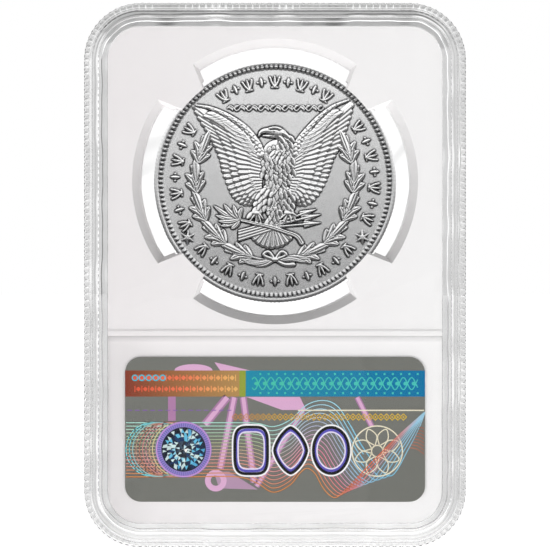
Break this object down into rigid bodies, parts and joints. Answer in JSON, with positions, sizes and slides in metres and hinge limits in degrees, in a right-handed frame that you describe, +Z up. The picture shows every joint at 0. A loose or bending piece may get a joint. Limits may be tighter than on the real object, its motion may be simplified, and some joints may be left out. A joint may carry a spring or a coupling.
{
  "type": "graded coin slab",
  "caption": "Sealed clear display slab that holds a large silver coin upright on four prongs in a white insert with arc windows, above a hologram label.",
  "frame": {"origin": "middle of the bottom edge, on the plane the slab stands on", "axes": "+Z up along the slab's long side, away from the label end; +X to the right seen from the rear face; -Y out of the rear face, which shows the coin's reverse and the hologram label"},
  "size_m": [0.06, 0.0082, 0.0855],
  "materials": {
    "clear_plastic": "gloss",
    "white_plastic": "satin",
    "silver": "satin",
    "hologram_foil": "satin",
    "label_card": "satin"
  },
  "bodies": {
    "holder": {"rear_shell": "clear_plastic", "front_shell": "clear_plastic", "prong_core": "white_plastic", "hologram_label": "hologram_foil", "grading_label": "label_card"},
    "coin": {"coin": "silver"}
  },
  "joints": [
    {"name": "coin_turn", "type": "hinge", "parent": "holder", "child": "coin", "pos_m": [0, 0, 0.05745], "axis": [0, -1, 0], "continuous": true}
  ]
}
